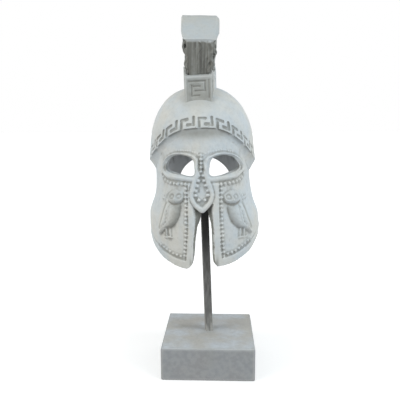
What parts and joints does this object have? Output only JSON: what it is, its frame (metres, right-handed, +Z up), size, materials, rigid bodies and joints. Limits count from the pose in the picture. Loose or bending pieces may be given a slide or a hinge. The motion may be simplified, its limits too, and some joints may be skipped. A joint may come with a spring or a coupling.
{
  "type": "display helmet with stand",
  "caption": "Small cast-plaster helmet of the ancient Greek kind, with nose guard, cheek plates and crest, held on a square iron rod in a square plaster foot.",
  "frame": {"origin": "middle of the foot's underside, on the surface that it stands on", "axes": "+Z up, -Y the way the face looks, +X to the right of a person who looks at the face"},
  "size_m": [0.0899, 0.1144, 0.2871],
  "materials": {
    "plaster": "matte white cast plaster",
    "foot_plaster": "matte grey cast plaster",
    "iron": "dark raw iron bar with a few plaster smears"
  },
  "bodies": {
    "root": {"foot": "foot_plaster", "rod": "iron", "helmet_shell": "plaster", "crest_holder": "plaster", "crest": "plaster"}
  },
  "joints": []
}
